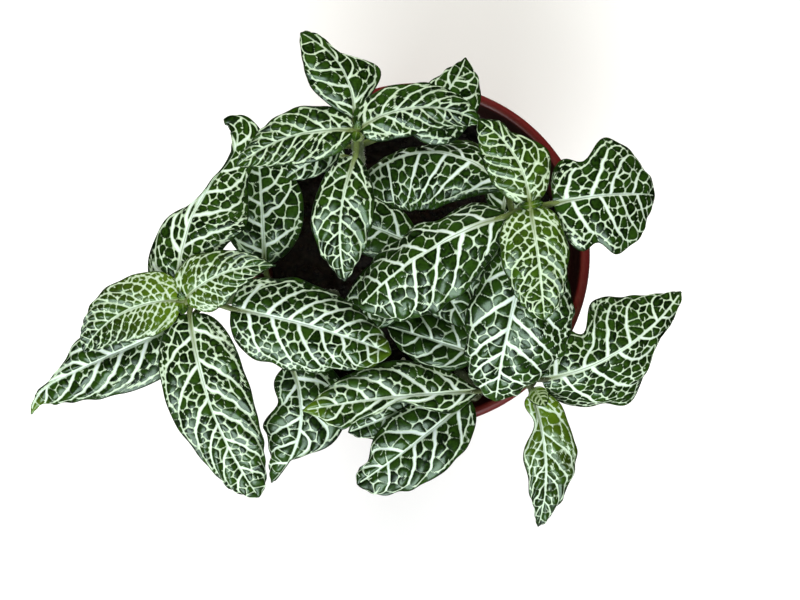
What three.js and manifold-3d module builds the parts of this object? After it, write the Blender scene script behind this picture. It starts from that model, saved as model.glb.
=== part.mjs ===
// A potted nerve plant: leafy stems with white-netted leaves in a plastic nursery pot of potting mix.
// Millimetres, +Z up. The origin is the middle of the pot's base, +Y points away from the viewer.
import * as THREE from "three";
import { mergeVertices } from "three/addons/utils/BufferGeometryUtils.js";
import Module from "manifold-3d";

const wasm = await Module();
wasm.setup();

// Driving dimensions.
const pot = {
  height: 95, // the pot is a 12 cm nursery pot
  rimRadius: 60, // outside of the rolled rim
  rimWidth: 3.8, // the rim as seen from above
  rimDepth: 4.5, // how far the rolled rim reaches down
  collarHeight: 17, // the straight band under the rim
  collarStep: 2, // how far the collar stands out of the body
  baseRadius: 41,
  wall: 1.3,
  floor: 2.2,
  footRecess: 1.4, // the ring with the drain holes is raised by this
  drainHoles: 8,
  drainRadius: 3.2,
  drainCircle: 27,
};
const seatGap = 0.3; // between pieces that touch
const soilTop = 75; // height of the potting mix at the pot's wall
const soilMound = 2.5; // how much higher the mix is in the middle
const stemDepth = 14; // how deep a stem stands in its hole
const stemRadius = { foot: 2.2, crown: 1.5 };
const bladeThickness = 0.8;
const leafRows = 10; // steps along a blade, one for each rib and one between each two
const leafColumns = 4; // steps across a blade, two on each side of the midrib
const ribSweep = 0.2; // how far the ribs run towards the tip, as a share of the length
const ribRelief = 0.45; // how much the blade stands up between two ribs

const degrees = THREE.MathUtils.degToRad;
const upAxis = new THREE.Vector3(0, 0, 1);

// What a leaf has unless its own line says otherwise. Angles are in degrees.
const plainLeaf = {
  petiole: 3, // length of the leaf's stalk
  aim: undefined, // heading of the stalk, where it isn't the blade's
  climb: 10, // slope of the stalk and of the blade's base
  droop: 35, // how much the slope has fallen at the tip
  hook: 0, // a last turn downwards, near the tip only
  bend: 0, // how much the heading turns to the left on the way to the tip
  veer: 0, // a last turn to the left, near the tip only
  roll: 0, // the left half of the blade raised
  twist: 0, // more roll towards the tip
  fold: 12, // each half raised from the midrib
  cup: 34, // each half's slope falls by this on the way to the margin
  baseShape: 0.6, // powers of the outline: small is round, large is pointed
  tipShape: 0.8,
  wave: 0.5, // height of the waves of the margin
  skew: 0, // how much wider the left half is than the right one
  lobes: [], // bites out of the margin: side, place along, depth, spread; bulges below zero
};

// A leaf: its node as a share of the stem's length, its heading from above, and its blade's size.
function leaf(node, heading, length, width, own = {}) {
  return { ...plainLeaf, node, heading, length, width, ...own };
}

// Every leafy stem: where it stands in the soil, its crown, how steeply it starts, and its leaves.
const shoots = {
  shoot_back: {
    root: [-20, 28],
    crown: [-19, 35, 157],
    rise: 45,
    leaves: {
      right: leaf(1, 35, 40, 16, {
        aim: 50, bend: -62, petiole: -1, climb: 8, baseShape: 0.3, tipShape: 0.6,
      }),
      left: leaf(1, 176, 39, 17, {
        bend: 40, petiole: -0.5, climb: 8, skew: 0.06, baseShape: 0.45,
      }),
      far: leaf(0.93, 87, 32, 17, {
        aim: 101, bend: 70, climb: 22, droop: 25, roll: 22, skew: 0.3, baseShape: 0.75,
        tipShape: 0.72, lobes: [[-1, 0.7, 2.8, 0.14], [-1, 0.34, -7, 0.14]],
      }),
      near: leaf(0.92, -112, 41, 19, {
        aim: -94, bend: 34, petiole: 5, climb: 5, droop: 45, skew: 0.06,
      }),
      lowRight: leaf(0.7, 29, 30, 19, {
        aim: 20, bend: 43, petiole: 15, skew: -0.3, baseShape: 0.5,
      }),
      lowLeft: leaf(0.7, 204, 20, 13, { aim: 185, bend: 10, petiole: 4, skew: -0.2 }),
      under: leaf(0.45, 168, 22, 15, { climb: 5 }),
    },
  },
  shoot_right: {
    root: [22, 4],
    crown: [33, 13, 153],
    rise: 45,
    leaves: {
      far: leaf(1, 96, 31, 18, {
        bend: 52, petiole: -1, climb: 25, skew: 0.08, baseShape: 0.42, tipShape: 0.55,
        lobes: [[-1, 0.71, 3.6, 0.14], [-1, 0.35, -1.8, 0.14], [-1, 0.92, 1.6, 0.08]],
      }),
      near: leaf(1, -80, 36, 21, {
        bend: -3, petiole: -1, climb: 5, skew: -0.08, baseShape: 0.36, tipShape: 0.66,
      }),
      out: leaf(0.9, 12, 37, 36, {
        aim: 12, bend: -13, petiole: 7.5, droop: 60, skew: -0.07, baseShape: 0.38,
        tipShape: 0.56,
        lobes: [[1, 0.31, 5.2, 0.13], [1, 0.54, -2.2, 0.17], [-1, 0.34, 4.8, 0.12]],
      }),
      inner: leaf(0.9, 196, 56, 33, {
        aim: 199, bend: 32, petiole: 4, droop: 42, roll: 22, fold: -16, skew: 0.06,
        baseShape: 0.55, tipShape: 0.4, lobes: [[-1, 0.1, -4.5, 0.12]],
      }),
      lowFar: leaf(0.74, 128, 53, 36, {
        aim: 108, bend: 102, petiole: 8, roll: 24, twist: 20, fold: -27, cup: 22,
        baseShape: 0.65, tipShape: 0.55,
        lobes: [[1, 0.9, -3, 0.15], [-1, 0.26, -7, 0.12], [-1, 0.63, 9, 0.2]],
      }),
      lowNear: leaf(0.74, -108, 60, 35, {
        aim: -51, bend: 16, petiole: 7.5, climb: 0, droop: 50, cup: 50, skew: 0.2,
        baseShape: 0.5, tipShape: 0.55,
      }),
      underFar: leaf(0.5, 80, 24, 15, { climb: 5 }),
      underNear: leaf(0.5, -100, 24, 15, { climb: 5 }),
    },
  },
  shoot_left: {
    root: [-30, -14],
    crown: [-75, -16, 133],
    rise: 30,
    leaves: {
      inner: leaf(1, 45, 34, 19, {
        bend: -49, petiole: -1, climb: 30, baseShape: 0.38, tipShape: 1.1,
      }),
      out: leaf(1, 175, 38, 21, {
        bend: 65, petiole: -1, climb: 14, baseShape: 0.37, tipShape: 0.77,
      }),
      near: leaf(0.95, -83, 67, 27.5, {
        aim: -104, bend: 24, petiole: 2.5, climb: 5, baseShape: 0.36, tipShape: 0.56,
        lobes: [[-1, 0.72, 1.8, 0.15]],
      }),
      far: leaf(0.95, 97, 63, 24, {
        aim: 158, bend: -76, veer: 170, petiole: 2.5, climb: 8, droop: 20, roll: -14, cup: 30,
        baseShape: 0.3, tipShape: 1.25,
        lobes: [
          [1, 0.53, 7, 0.2], [1, 0.75, 2.6, 0.08], [1, 0.93, -1.4, 0.08],
          [-1, 0.54, -9, 0.2], [-1, 0.88, -6, 0.1],
        ],
      }),
      lowOut: leaf(0.88, 204, 66, 25, {
        aim: 228, bend: -2, veer: 67, petiole: 7.5, climb: 0, droop: 25, skew: 0.1,
        baseShape: 0.34, lobes: [[-1, 0.77, 5, 0.15]],
      }),
      lowIn: leaf(0.88, -9, 54, 30, {
        aim: -18, bend: -14, petiole: 7, droop: 30, cup: 50, skew: -0.08, baseShape: 0.32,
        tipShape: 0.6,
      }),
      baseFar: leaf(0.55, 90, 42, 27, { aim: 102, bend: 6, petiole: 10, climb: 20 }),
      baseNear: leaf(0.55, -64, 48, 29, {
        aim: -75, bend: -75, petiole: 21, climb: 2, droop: 38, skew: 0.1, baseShape: 0.46,
        lobes: [[1, 0.74, 10.5, 0.2], [-1, 0.25, 4.8, 0.15]],
      }),
    },
  },
  shoot_near: {
    root: [24, -24],
    crown: [38, -44, 108],
    rise: 15,
    leaves: {
      budFar: leaf(1, 120, 10, 8, { petiole: 1, climb: 60, rows: 6 }),
      budNear: leaf(1, -60, 9, 7, { petiole: 1, climb: 60, rows: 6 }),
      near: leaf(0.97, -70, 51, 18, {
        aim: -80, bend: -32, petiole: 2.5, climb: 0, skew: 0.14, baseShape: 0.42,
        lobes: [[1, 0.44, -1.1, 0.06], [1, 0.58, -1.6, 0.06], [-1, 0.2, 5, 0.12]],
      }),
      far: leaf(0.97, 95, 26, 14, { petiole: 2, climb: 0 }),
      right: leaf(0.92, 10, 57, 45, {
        aim: -5, bend: 45, petiole: 3.5, climb: 15, droop: 25, roll: 18, fold: -12,
        baseShape: 0.4, tipShape: 0.85,
        lobes: [[1, 0.34, 11.5, 0.12], [-1, 0.42, -6, 0.14], [-1, 0.71, 5.4, 0.12]],
      }),
      left: leaf(0.92, 180, 60, 18, {
        aim: 193, bend: 11, petiole: 17, climb: 25, droop: 32, skew: -0.3, baseShape: 1,
        tipShape: 1, lobes: [[1, 0.46, 4.2, 0.12], [1, 0.16, -3.8, 0.12], [1, 0.82, -4.2, 0.12]],
      }),
      low: leaf(0.55, 160, 34, 20, { aim: 195, bend: 5, petiole: 8, climb: 8 }),
    },
  },
  shoot_front: {
    root: [8, -30],
    crown: [20, -49, 102],
    rise: 12,
    leaves: {
      near: leaf(1, 220, 50, 26, {
        aim: 184, bend: -4, petiole: 1, skew: 0.08, baseShape: 0.45, tipShape: 0.5,
        lobes: [[-1, 0.84, 3.6, 0.12]],
      }),
      low: leaf(0.8, 203, 38, 20, { petiole: 6 }),
    },
  },
  shoot_middle: {
    root: [-4, -2],
    crown: [2, 2, 104],
    rise: 15,
    leaves: {
      left: leaf(1, 228, 38, 20, { bend: -5, climb: 5, droop: 25 }),
      right: leaf(1, 158, 36, 20, { petiole: 1, climb: 18, droop: 25 }),
      near: leaf(0.9, -60, 26, 18, { climb: 5, droop: 25 }),
    },
  },
};

// A closed slab on a grid: point(i, j, side) gives the upper (+1) and lower (-1) faces.
// Both faces are split into triangles alike, with the two halves mirrored.
function slab(rows, columns, point) {
  const positions = [];
  const faces = [];
  const at = (i, j, side) => (side > 0 ? 0 : (rows + 1) * (columns + 1)) + i * (columns + 1) + j;
  for (const side of [1, -1])
    for (let i = 0; i <= rows; i++)
      for (let j = 0; j <= columns; j++) positions.push(...point(i, j, side).toArray());
  const quad = (a, b, c, d, flip) => faces.push(...(flip ? [a, b, d, b, c, d] : [a, b, c, a, c, d]));
  for (let i = 0; i < rows; i++)
    for (let j = 0; j < columns; j++) {
      const left = j >= columns / 2;
      quad(at(i, j, 1), at(i + 1, j, 1), at(i + 1, j + 1, 1), at(i, j + 1, 1), left);
      quad(at(i, j, -1), at(i, j + 1, -1), at(i + 1, j + 1, -1), at(i + 1, j, -1), left);
    }
  for (let i = 0; i < rows; i++) {
    quad(at(i, 0, 1), at(i, 0, -1), at(i + 1, 0, -1), at(i + 1, 0, 1));
    quad(at(i, columns, 1), at(i + 1, columns, 1), at(i + 1, columns, -1), at(i, columns, -1));
  }
  for (let j = 0; j < columns; j++) {
    quad(at(0, j, 1), at(0, j + 1, 1), at(0, j + 1, -1), at(0, j, -1));
    quad(at(rows, j, 1), at(rows, j, -1), at(rows, j + 1, -1), at(rows, j + 1, 1));
  }
  return meshOf(positions, faces);
}

function meshOf(positions, faces) {
  const made = new THREE.BufferGeometry();
  made.setAttribute("position", new THREE.Float32BufferAttribute(positions, 3));
  made.setIndex(faces);
  return made;
}

// A round tube through the points, closed at both ends, with a radius for each point.
function tube(points, radii, sides) {
  const positions = [];
  const faces = [];
  let side = new THREE.Vector3(1, 0, 0);
  points.forEach((p, i) => {
    const before = points[Math.max(i - 1, 0)];
    const after = points[Math.min(i + 1, points.length - 1)];
    const along = after.clone().sub(before).normalize();
    side = side.clone().addScaledVector(along, -side.dot(along)).normalize();
    const across = along.clone().cross(side);
    for (let k = 0; k < sides; k++) {
      const turn = (2 * Math.PI * k) / sides;
      const out = side.clone().multiplyScalar(Math.cos(turn)).addScaledVector(across, Math.sin(turn));
      positions.push(...p.clone().addScaledVector(out, radii[i]).toArray());
    }
  });
  const last = (points.length - 1) * sides;
  for (let k = 0; k < sides; k++) {
    const next = (k + 1) % sides;
    for (let i = 0; i < last; i += sides)
      faces.push(i + k, i + next, i + sides + next, i + k, i + sides + next, i + sides + k);
    if (k > 0 && next > 0) faces.push(0, next, k, last, last + k, last + next);
  }
  return meshOf(positions, faces);
}

function solidOf(geometry) {
  const bare = new THREE.BufferGeometry();
  bare.setAttribute("position", geometry.getAttribute("position"));
  bare.setIndex(geometry.index);
  const merged = mergeVertices(bare, 1e-4);
  return new wasm.Manifold(
    new wasm.Mesh({
      numProp: 3,
      vertProperties: merged.attributes.position.array,
      triVerts: new Uint32Array(merged.index.array),
    }),
  );
}

function geometryOf(solid) {
  const mesh = solid.getMesh();
  return new THREE.BufferGeometry()
    .setAttribute("position", new THREE.BufferAttribute(mesh.vertProperties, 3))
    .setIndex(new THREE.BufferAttribute(mesh.triVerts, 1))
    .toNonIndexed();
}

// The way along a blade: heading and slope turn with the share u of its length.
function direction(own, u) {
  const heading = degrees(own.heading + own.bend * u + own.veer * u ** 8);
  const slope = degrees(own.climb - own.droop * u - own.hook * u ** 8);
  return new THREE.Vector3(
    Math.cos(slope) * Math.cos(heading),
    Math.cos(slope) * Math.sin(heading),
    Math.sin(slope),
  );
}

// The midrib, summed in small steps from the blade's base.
function midrib(own, base) {
  const steps = 60;
  const points = [base.clone()];
  for (let i = 0; i < steps; i++)
    points.push(points[i].clone().addScaledVector(direction(own, (i + 0.5) / steps), own.length / steps));
  return (u) => {
    const place = Math.min(Math.max(u, 0), 1) * steps;
    const i = Math.min(Math.floor(place), steps - 1);
    return points[i].clone().lerp(points[i + 1], place - i);
  };
}

// One half's width at u: a power of the distance to each end, the widest place between, less the
// lobes. side is 1 for the left half and -1 for the right one.
function halfWidth(own, u, side) {
  const widest = own.baseShape / (own.baseShape + own.tipShape);
  const shape = (u / widest) ** own.baseShape * ((1 - u) / (1 - widest)) ** own.tipShape;
  const bites = own.lobes
    .filter(([where]) => where === side)
    .map(([, place, depth, spread]) => depth * Math.exp(-(((u - place) / spread) ** 2)));
  const bitten = bites.reduce((sum, bite) => sum + bite, 0);
  return Math.max(0.5, (own.width / 2) * (1 + own.skew * side) * shape - bitten);
}

// A point of the blade: u along the midrib, v from -1 at the right margin to 1 at the left,
// and lift off the blade's middle surface.
function bladePoint(own, rib, u, v, lift) {
  const along = direction(own, u);
  const left = upAxis.clone().cross(along).normalize();
  const up = along.clone().cross(left);
  const roll = degrees(own.roll + own.twist * u);
  const across = left.clone().multiplyScalar(Math.cos(roll)).addScaledVector(up, Math.sin(roll));
  const out = up.multiplyScalar(Math.cos(roll)).addScaledVector(left, -Math.sin(roll));
  const side = Math.abs(v);
  const slope = degrees(own.fold - (own.cup * side) / 2);
  const reach = halfWidth(own, u, v < 0 ? -1 : 1) * side;
  return rib(u)
    .addScaledVector(across, Math.sign(v) * reach * Math.cos(slope))
    .addScaledVector(out, reach * Math.sin(slope) + lift);
}

// The blade as a slab whose rows run along its ribs, raised between two ribs and waved at the margin.
function blade(own, base) {
  const rows = own.rows ?? leafRows;
  const rib = midrib(own, base);
  return slab(rows, leafColumns, (i, j, side) => {
    const v = (2 * j) / leafColumns - 1;
    const foot = i / rows;
    const u = foot + ribSweep * Math.abs(v) * 4 * foot * (1 - foot);
    const between = i % 2 ? 1 : 0;
    const inner = i > 0 && i < rows ? 1 : 0;
    const relief = inner * (between * ribRelief + own.wave * (between - 0.5) * v * v);
    return bladePoint(own, rib, u, v, relief + (side * bladeThickness) / 2);
  });
}

// The stalk from the middle of the stem to a little way under the blade, thinner towards the blade.
function stalk(own, from) {
  const rib = midrib(own, stalkEnd(own, from));
  const under = (u) => rib(u).addScaledVector(upAxis, -0.3);
  const points = [from, under(0), under(0.08), under(0.2)];
  return tube(points, [1.1, 0.95, 0.85, 0.6], 6);
}

function stalkEnd(own, from) {
  const aimed = { ...own, heading: own.aim ?? own.heading };
  return from.clone().addScaledVector(direction(aimed, 0), own.petiole + stemRadius.crown);
}

// The stem's line: straight up out of the soil, then over to its crown.
function stemLine(shoot) {
  const foot = new THREE.Vector3(...shoot.root, soilTop);
  const crown = new THREE.Vector3(...shoot.crown);
  const first = foot.clone().addScaledVector(upAxis, shoot.rise);
  const second = crown.clone().lerp(first, 0.4);
  return new THREE.CubicBezierCurve3(foot, first, second, crown);
}

function stem(shoot) {
  const steps = 9;
  const line = stemLine(shoot);
  const foot = line.getPoint(0);
  const points = [foot.clone().addScaledVector(upAxis, seatGap - stemDepth)];
  const radii = [stemRadius.foot];
  for (let i = 0; i <= steps; i++) {
    points.push(line.getPoint(i / steps));
    radii.push(THREE.MathUtils.lerp(stemRadius.foot, stemRadius.crown, i / steps));
  }
  return tube(points, radii, 8);
}

// A leafy stem as one solid: the stem with its stalks and blades.
function leafyStem(shoot) {
  const line = stemLine(shoot);
  let solid = solidOf(stem(shoot));
  for (const own of Object.values(shoot.leaves)) {
    const from = line.getPoint(own.node);
    solid = solid.add(solidOf(stalk(own, from)));
    solid = solid.add(solidOf(blade(own, stalkEnd(own, from))));
  }
  return solid;
}

// A solid of revolution about Z from (radius, height) pairs.
function turned(profile, segments) {
  const points = profile.map(([r, z]) => new THREE.Vector2(r, z));
  return new THREE.LatheGeometry(points, segments).rotateX(Math.PI / 2);
}

function post(x, y, low, high, radius, segments = 16) {
  return new THREE.CylinderGeometry(radius, radius, high - low, segments)
    .rotateX(Math.PI / 2)
    .translate(x, y, (low + high) / 2);
}

// The pot's inner radius where the body's wall is straight.
function innerRadius(z) {
  const shoulder = pot.height - pot.collarHeight;
  const top = pot.rimRadius - pot.rimWidth - pot.collarStep - 0.8;
  return THREE.MathUtils.lerp(pot.baseRadius - pot.wall, top, z / shoulder);
}

function potShell() {
  const shoulder = pot.height - pot.collarHeight;
  const inside = pot.rimRadius - pot.rimWidth;
  const collar = inside + pot.wall;
  const lip = pot.height - pot.rimDepth;
  const recess = pot.footRecess;
  const outer = [
    [0, 0],
    [16, 0],
    [17.5, recess],
    [35, recess],
    [36.5, 0],
    [pot.baseRadius - 1, 0],
    [pot.baseRadius, 1],
    [innerRadius(shoulder - 1) + pot.wall, shoulder - 1],
    [collar - 0.8, shoulder + 0.8],
    [collar, lip - 1],
    [pot.rimRadius, lip],
    [pot.rimRadius, pot.height - 1.2],
    [pot.rimRadius - 1, pot.height],
    [inside + 0.9, pot.height],
    [inside, pot.height - 0.9],
    [inside - 0.8, shoulder + 1.6],
    [innerRadius(shoulder), shoulder],
    [innerRadius(pot.floor + recess), pot.floor + recess],
    [0, pot.floor + recess],
  ];
  let solid = solidOf(turned(outer, 48));
  for (let k = 0; k < pot.drainHoles; k++) {
    const turn = (2 * Math.PI * (k + 0.5)) / pot.drainHoles;
    const [x, y] = [pot.drainCircle * Math.cos(turn), pot.drainCircle * Math.sin(turn)];
    solid = solid.subtract(solidOf(post(x, y, -1, 6, pot.drainRadius)));
  }
  // Four notches let the water out of the ring that the pot stands on.
  for (let k = 0; k < 4; k++) {
    const notch = new THREE.BoxGeometry(8, 6, 2 * recess)
      .translate(pot.baseRadius - 2, 0, 0)
      .rotateZ((Math.PI / 2) * k);
    solid = solid.subtract(solidOf(notch));
  }
  return solid;
}

// The potting mix, with a plain hole for each stem.
function pottingMix() {
  const low = pot.floor + pot.footRecess + seatGap;
  const profile = [[0, low], [innerRadius(low) - seatGap, low], [innerRadius(soilTop) - seatGap, soilTop]];
  const rings = 4;
  for (let k = 1; k <= rings; k++) {
    const share = 1 - k / rings;
    profile.push([innerRadius(soilTop) * share * 0.98, soilTop + soilMound * (1 - share ** 2)]);
  }
  let solid = solidOf(turned(profile, 40));
  for (const shoot of Object.values(shoots)) {
    const [x, y] = shoot.root;
    const hole = post(x, y, soilTop - stemDepth, soilTop + 10, stemRadius.foot + seatGap, 12);
    solid = solid.subtract(solidOf(hole));
  }
  return solid;
}

const looks = {
  pot: new THREE.MeshStandardMaterial({ color: 0x7e2a22, roughness: 0.45, metalness: 0 }),
  soil: new THREE.MeshStandardMaterial({ color: 0x1d1511, roughness: 1, metalness: 0 }),
  leaf: new THREE.MeshStandardMaterial({ color: 0x3f6b34, roughness: 0.5, metalness: 0 }),
};

function addPiece(group, name, solid, material) {
  const mesh = new THREE.Mesh(geometryOf(solid), material);
  mesh.name = name;
  group.add(mesh);
}

const plant = new THREE.Group();
addPiece(plant, "pot", potShell(), looks.pot);
addPiece(plant, "potting_mix", pottingMix(), looks.soil);
for (const [name, shoot] of Object.entries(shoots)) addPiece(plant, name, leafyStem(shoot), looks.leaf);

export default plant;
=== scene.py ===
# Potted nerve plant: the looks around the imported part. Metres, +Z up, the part's own frame.
import math

import bmesh
import bpy
import numpy as np
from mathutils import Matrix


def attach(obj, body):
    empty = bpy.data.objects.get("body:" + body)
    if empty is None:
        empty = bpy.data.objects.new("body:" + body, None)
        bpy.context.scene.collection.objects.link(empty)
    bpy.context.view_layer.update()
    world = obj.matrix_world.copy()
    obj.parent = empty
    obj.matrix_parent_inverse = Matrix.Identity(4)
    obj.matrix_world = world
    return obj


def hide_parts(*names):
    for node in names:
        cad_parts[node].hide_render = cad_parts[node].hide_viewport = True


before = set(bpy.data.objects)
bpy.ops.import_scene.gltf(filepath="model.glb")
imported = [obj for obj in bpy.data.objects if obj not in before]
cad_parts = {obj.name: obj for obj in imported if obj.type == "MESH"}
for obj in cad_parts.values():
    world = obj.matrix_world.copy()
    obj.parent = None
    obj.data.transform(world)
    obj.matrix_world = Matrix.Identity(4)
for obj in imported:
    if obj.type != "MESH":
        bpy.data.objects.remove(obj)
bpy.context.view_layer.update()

scene = bpy.context.scene
mm = 0.001
up = np.array([0.0, 0.0, 1.0])
soilTop = 75  # mm, height of the mix at the pot's wall
seatGap = 0.3  # mm between the solids

view = {
    "place": (-0.0062, -0.0156, 0.545),  # straight above, as in the photograph
    "lens": 58.44,
    "sensor": 36,
}
studio = {
    "floorSize": 6.0,
    "floorColour": "#fcfcfb",
    "sky": "#f4f4ee",
    "skyStrength": 0.28,
    "target": (0, 0, 0.11),
    "window": {"place": (-0.25, -1.1, 0.83), "size": 1.1, "power": 26.0, "colour": "#fafcff"},
    "fill": {"place": (0.1, 1.2, 0.9), "size": 1.6, "power": 27.0, "colour": "#fffdf8"},
}


# sRGB hex to linear: each channel c becomes c/12.92 below 0.04045, else ((c+0.055)/1.055)^2.4.
def colour(code):
    channels = [int(code[i:i + 2], 16) / 255 for i in (1, 3, 5)]
    return [c / 12.92 if c <= 0.04045 else ((c + 0.055) / 1.055) ** 2.4 for c in channels] + [1.0]


# Fills a node's inputs: a socket is linked, and anything else becomes the input's own value.
def fill(tree, node, inputs):
    for name, value in inputs.items():
        if isinstance(value, bpy.types.NodeSocket):
            tree.links.new(value, node.inputs[name])
        else:
            node.inputs[name].default_value = value


# Adds a node with its settings and links, and gives one of its outputs.
def add(tree, kind, inputs=None, output=0, **settings):
    node = tree.nodes.new("ShaderNode" + kind)
    for name, value in settings.items():
        setattr(node, name, value)
    fill(tree, node, inputs or {})
    return node.outputs[output]


# A new material, with its node tree and its shader.
def newMaterial(name):
    material = bpy.data.materials.new(name)
    material.use_nodes = True
    return material, material.node_tree, material.node_tree.nodes["Principled BSDF"]


def newObject(name, data):
    thing = bpy.data.objects.new(name, data)
    scene.collection.objects.link(thing)
    return thing


def makeCamera():
    camera = newObject("photoCamera", bpy.data.cameras.new("photoCamera"))
    camera.data.lens = view["lens"]
    camera.data.sensor_width = view["sensor"]
    camera.location = view["place"]
    scene.camera = camera


# A round soft lamp that faces the target.
def makeLight(name, own):
    light = bpy.data.lights.new(name, "AREA")
    light.shape = "DISK"
    light.size = own["size"]
    light.energy = own["power"]
    light.color = colour(own["colour"])[:3]
    lamp = newObject(name, light)
    lamp.location = own["place"]
    away = np.array(own["place"]) - studio["target"]
    tilt = math.acos(away[2] / np.linalg.norm(away))
    lamp.rotation_euler = (tilt, 0, math.atan2(away[1], away[0]) + math.pi / 2)
    return lamp


# Matte paper: an even pale ground without gloss.
def mattePaper():
    material, tree, shader = newMaterial("matte paper")
    fill(tree, shader, {"Base Color": colour(studio["floorColour"]), "Roughness": 0.9})
    return material


def makeStudio():
    world = bpy.data.worlds.new("softRoom")
    world.use_nodes = True
    scene.world = world
    sky = world.node_tree.nodes["Background"]
    fill(world.node_tree, sky, {"Color": colour(studio["sky"]), "Strength": studio["skyStrength"]})
    # only the window is mirrored in the leaves, not the sky, the fill light or the floor
    world.cycles_visibility.glossy = False
    makeLight("window", studio["window"])
    makeLight("fill", studio["fill"]).visible_glossy = False
    half = studio["floorSize"] / 2
    mesh = bpy.data.meshes.new("floor")
    corners = [(-half, -half, 0), (half, -half, 0), (half, half, 0), (-half, half, 0)]
    mesh.from_pydata(corners, [], [(0, 1, 2, 3)])
    mesh.materials.append(mattePaper())
    floor = newObject("floor", mesh)
    floor.visible_glossy = False
    scene.view_settings.view_transform = "Standard"


makeCamera()
makeStudio()
print("studio ready")


# Puts points in mm and sets of faces, each an array of corner numbers, into a mesh of its own object.
def makePiece(name, points, faceSets, material, node, slot, marks=None):
    mesh = bpy.data.meshes.new(name)
    mesh.vertices.add(len(points))
    mesh.vertices.foreach_set("co", (points * mm).astype(np.float32).ravel())
    corners = np.concatenate([faces.ravel() for faces in faceSets]).astype(np.int32)
    sizes = np.concatenate([np.full(len(faces), faces.shape[1]) for faces in faceSets])
    mesh.loops.add(len(corners))
    mesh.loops.foreach_set("vertex_index", corners)
    mesh.polygons.add(len(sizes))
    mesh.polygons.foreach_set("loop_start", np.concatenate([[0], np.cumsum(sizes)[:-1]]).astype(np.int32))
    mesh.update(calc_edges=True)
    mesh.validate()
    mesh.shade_smooth()
    for label, values in (marks or {}).items():
        layer = mesh.attributes.new(label, "FLOAT", "POINT")
        layer.data.foreach_set("value", np.asarray(values, np.float32).ravel())
    mesh.materials.append(material)
    piece = newObject(name, mesh)
    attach(piece, "root")
    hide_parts(node)
    return piece


# Joins points that lie in the same place, so that a piece made of several grids is closed.
def weld(piece):
    shape = bmesh.new()
    shape.from_mesh(piece.data)
    bmesh.ops.remove_doubles(shape, verts=shape.verts, dist=0.01 * mm)
    shape.to_mesh(piece.data)
    shape.free()


# The corners of every square of a grid of points; wrap joins the last column to the first.
def gridFaces(rows, columns, wrap=False):
    i, j = np.meshgrid(np.arange(rows - 1), np.arange(columns if wrap else columns - 1), indexing="ij")
    first = (i * columns + j).ravel()
    beside = (i * columns + (j + 1) % columns).ravel()
    return np.stack([first, first + columns, beside + columns, beside], 1)


# A smooth random field of about -1 to 1: a sum of sines of random heading, each about as long as size.
def unevenness(x, y, size, rng, waves=6):
    heading = rng.uniform(0, 2 * np.pi, waves)
    pace = 2 * np.pi / (size * rng.uniform(0.7, 1.6, waves))
    start = rng.uniform(0, 2 * np.pi, waves)
    place = np.asarray(x)[..., None] * np.cos(heading) + np.asarray(y)[..., None] * np.sin(heading)
    return np.sin(place * pace + start).sum(-1) / math.sqrt(waves)


plainLeaf = {
    "petiole": 3, "aim": None, "climb": 10, "droop": 35, "bend": 0, "veer": 0,
    "roll": 0, "twist": 0, "fold": 12, "cup": 34, "wave": 0.5,
    "base": 0.6, "tip": 0.8,  # powers of the outline at its two ends: 1 is a sharp point, less is rounder
    "skew": 0,  # how much wider the left half is than the right one
    "lobes": (),  # bites out of the margin: side, place along, depth in mm, spread; bulges below zero
    "pairs": None,  # side veins on each half, or none for one each 9 mm
    "sweep": 0.22,  # how steeply the side veins leave the midrib, as a share of the length
    "bold": 1,  # how wide the side veins are
    "fresh": 0,  # how yellow-green the blade is near its base
    "freshTip": 0,  # how yellow-green it is at its tip
    "greenFrom": 1,  # from this share of the length on, the blade is plain green without veins
    "cell": 3.4,  # mm across a cell of the net
    "age": 0.7,  # 0 is a leaf that has just opened, 1 an old one
    "ripple": 0.6,  # mm that the margin goes up and down
}


def leaf(node, heading, length, width, **own):
    return {**plainLeaf, "node": node, "heading": heading, "length": length, "width": width, **own}


# The first leaves at the top of a stem, small, plain and green.
def bud(heading, length, width, climb):
    plain = {"petiole": -1, "fresh": 0.9, "freshTip": 0.6, "greenFrom": -1, "ripple": 0.1}
    return leaf(1, heading, length, width, climb=climb, **plain)


# A bud's leaves that have just opened and show their first veins.
def youngLeaf(heading, length, width):
    young = {"petiole": 1, "pairs": 6, "bold": 0.7, "cell": 3, "age": 0, "fresh": 1.6, "ripple": 0.1}
    return leaf(1, heading, length, width, climb=60, **young)


# A stem rises straight from its root, then leans over to its crown.
def leafyStem(root, crown, rise, **leaves):
    return {"root": root, "crown": crown, "rise": rise, "leaves": leaves}


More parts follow.
